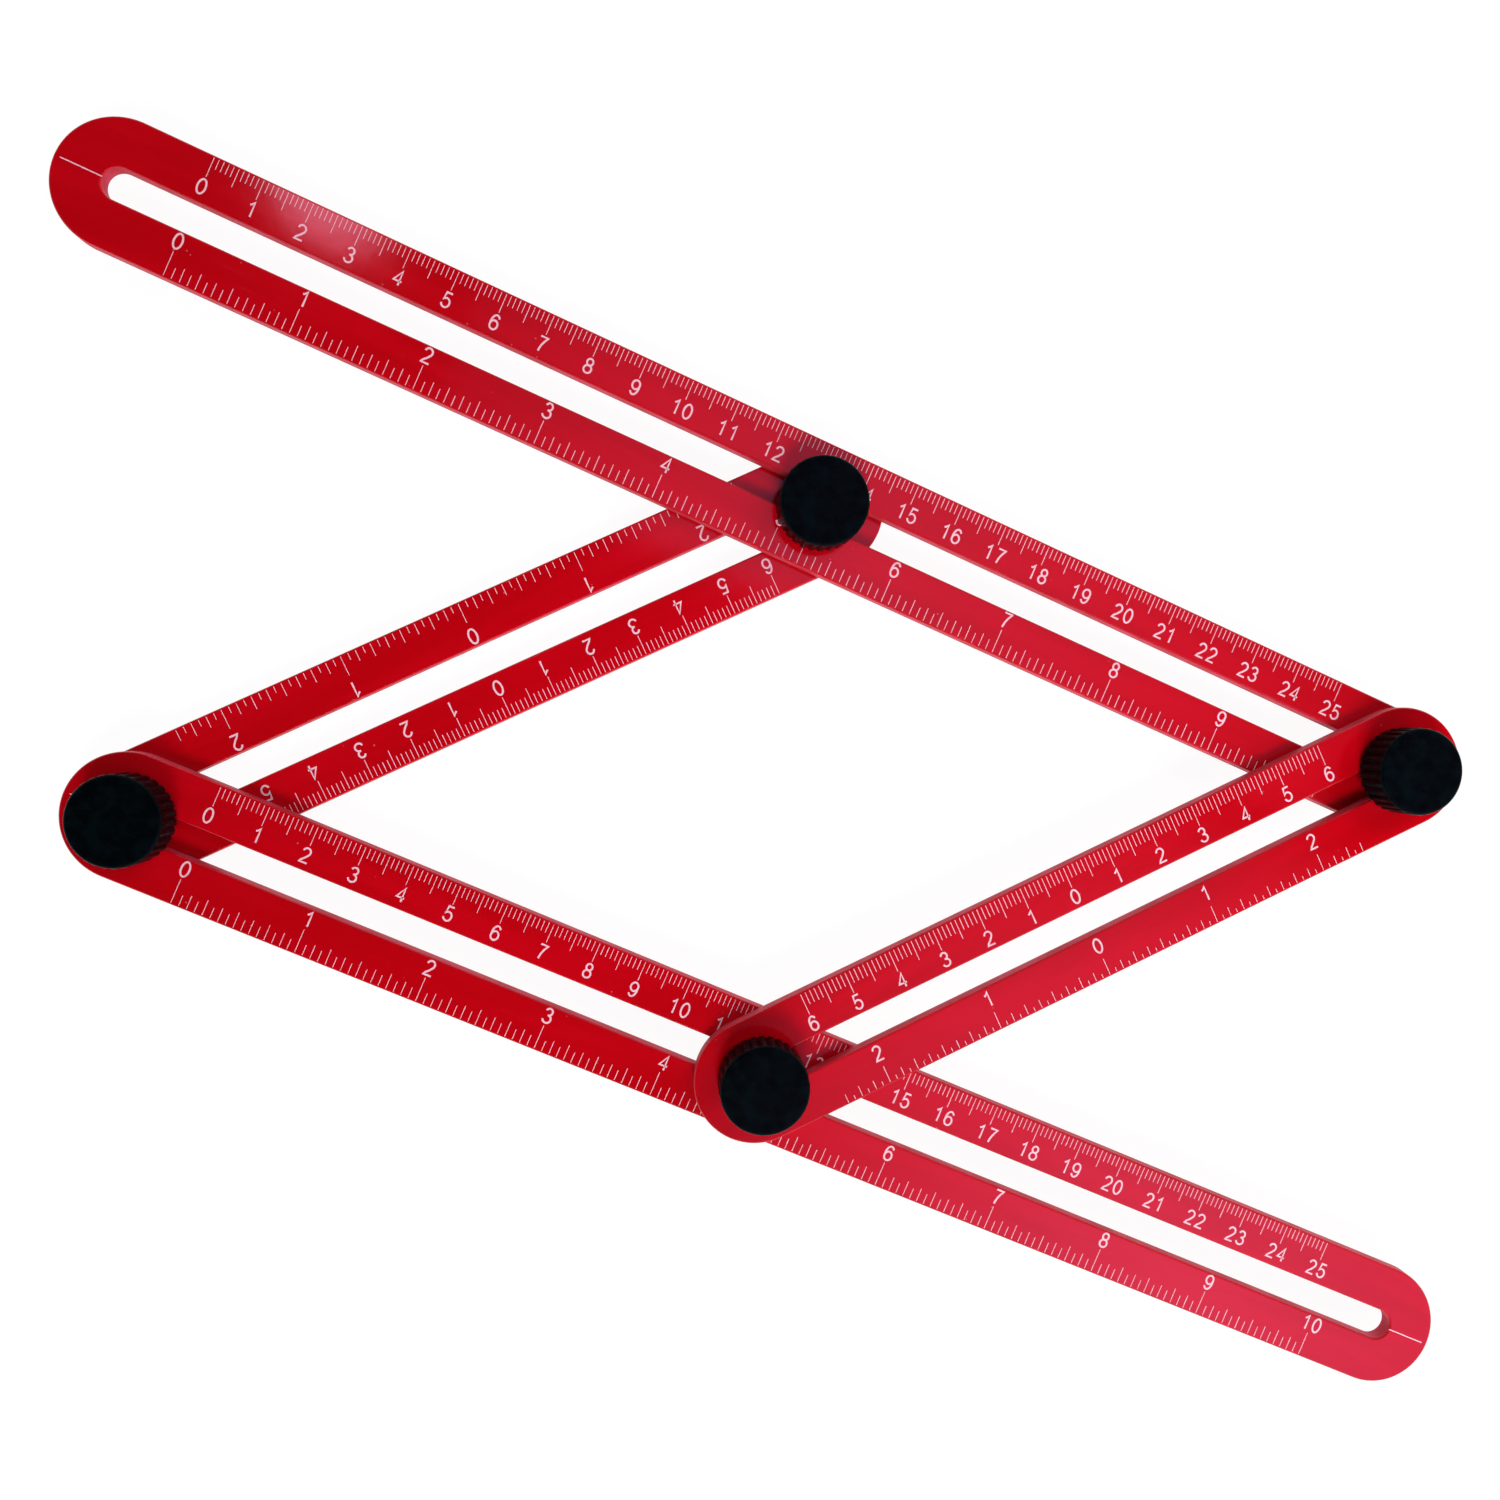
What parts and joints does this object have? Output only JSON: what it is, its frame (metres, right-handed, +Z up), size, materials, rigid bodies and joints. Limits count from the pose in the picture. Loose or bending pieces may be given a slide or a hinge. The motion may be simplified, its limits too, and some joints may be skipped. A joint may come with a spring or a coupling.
{
  "type": "multi-angle folding ruler",
  "caption": "Slotted plastic rulers joined in a folding parallelogram by knurled clamping knobs, for copying and laying out angles.",
  "frame": {"origin": "on the surface the ruler lies on, under the middle of the parallelogram that the bolts form", "axes": "+X along the long rulers towards their higher numbers, +Y from the front long ruler to the rear one, +Z up, out of the knobs' tops"},
  "size_m": [0.3552, 0.1382, 0.0187],
  "materials": {
    "red_plastic": "glossy moulded plastic with printed white scales",
    "black_plastic": "matte moulded plastic, straight knurl",
    "plated_steel": "zinc plated",
    "brass": "turned and knurled"
  },
  "bodies": {
    "front_long_ruler": {"front_long_ruler": "red_plastic"},
    "front_right_bolt": {"front_right_bolt": "plated_steel"},
    "upper_short_ruler": {"upper_short_ruler": "red_plastic", "front_right_washer": "plated_steel", "rear_right_washer": "plated_steel"},
    "rear_right_bolt": {"rear_right_bolt": "plated_steel"},
    "rear_long_ruler": {"rear_long_ruler": "red_plastic"},
    "front_left_washer": {"front_left_washer": "plated_steel"},
    "lower_short_ruler": {"lower_short_ruler": "red_plastic", "front_left_bolt": "plated_steel", "rear_left_bolt": "plated_steel", "rear_left_washer": "plated_steel"},
    "front_left_insert": {"front_left_insert": "brass"},
    "front_left_knob": {"front_left_knob": "black_plastic"},
    "front_right_insert": {"front_right_insert": "brass"},
    "front_right_knob": {"front_right_knob": "black_plastic"},
    "rear_left_insert": {"rear_left_insert": "brass"},
    "rear_left_knob": {"rear_left_knob": "black_plastic"},
    "rear_right_insert": {"rear_right_insert": "brass"},
    "rear_right_knob": {"rear_right_knob": "black_plastic"}
  },
  "joints": [
    {"name": "front_right_slide", "type": "slide", "parent": "front_long_ruler", "child": "front_right_bolt", "axis": [1, 0, 0], "range_m": [0, 0.1465]},
    {"name": "fold", "type": "hinge", "parent": "front_right_bolt", "child": "upper_short_ruler", "pos_m": [0.01767, -0.05548, 0.008], "axis": [0, 0, 1], "range_deg": [-38.3, 121.7]},
    {"name": "rear_right_pivot", "type": "hinge", "parent": "upper_short_ruler", "child": "rear_right_bolt", "pos_m": [0.11653, 0.05548, 0.008], "axis": [0, 0, 1], "range_deg": [-121.8, 38.4]},
    {"name": "rear_right_slide", "type": "slide", "parent": "rear_right_bolt", "child": "rear_long_ruler", "axis": [-1, 0, 0], "range_m": [-0.1465, 0]},
    {"name": "front_left_slide", "type": "slide", "parent": "front_long_ruler", "child": "front_left_washer", "axis": [1, 0, 0], "range_m": [0, 0.1047]},
    {"name": "front_left_pivot", "type": "hinge", "parent": "front_left_washer", "child": "lower_short_ruler", "pos_m": [-0.11653, -0.05548, 0.0048], "axis": [0, 0, 1], "range_deg": [-38.4, 121.8]},
    {"name": "front_left_knob_rise", "type": "slide", "parent": "lower_short_ruler", "child": "front_left_insert", "axis": [0, 0, 1], "range_m": [0, 0.0016]},
    {"name": "front_left_knob_turn", "type": "hinge", "parent": "front_left_insert", "child": "front_left_knob", "pos_m": [-0.11653, -0.05548, 0.0048], "axis": [0, 0, 1], "range_deg": [0, 720]},
    {"name": "front_right_knob_rise", "type": "slide", "parent": "front_right_bolt", "child": "front_right_insert", "axis": [0, 0, 1], "range_m": [0, 0.0016]},
    {"name": "front_right_knob_turn", "type": "hinge", "parent": "front_right_insert", "child": "front_right_knob", "pos_m": [0.01767, -0.05548, 0.0048], "axis": [0, 0, 1], "range_deg": [0, 720]},
    {"name": "rear_left_knob_rise", "type": "slide", "parent": "lower_short_ruler", "child": "rear_left_insert", "axis": [0, 0, 1], "range_m": [0, 0.0016]},
    {"name": "rear_left_knob_turn", "type": "hinge", "parent": "rear_left_insert", "child": "rear_left_knob", "pos_m": [-0.01767, 0.05548, 0.0048], "axis": [0, 0, 1], "range_deg": [0, 720]},
    {"name": "rear_right_knob_rise", "type": "slide", "parent": "rear_right_bolt", "child": "rear_right_insert", "axis": [0, 0, 1], "range_m": [0, 0.0016]},
    {"name": "rear_right_knob_turn", "type": "hinge", "parent": "rear_right_insert", "child": "rear_right_knob", "pos_m": [0.11653, 0.05548, 0.0048], "axis": [0, 0, 1], "range_deg": [0, 720]}
  ],
  "couplings": [
    {"joint": "rear_right_pivot", "follows": "fold", "ratio": -1},
    {"joint": "front_left_pivot", "follows": "fold", "ratio": 1},
    {"joint": "front_left_knob_turn", "follows": "front_left_knob_rise", "rad_per_m": 7854},
    {"joint": "front_right_knob_turn", "follows": "front_right_knob_rise", "rad_per_m": 7854},
    {"joint": "rear_left_knob_turn", "follows": "rear_left_knob_rise", "rad_per_m": 7854},
    {"joint": "rear_right_knob_turn", "follows": "rear_right_knob_rise", "rad_per_m": 7854}
  ]
}
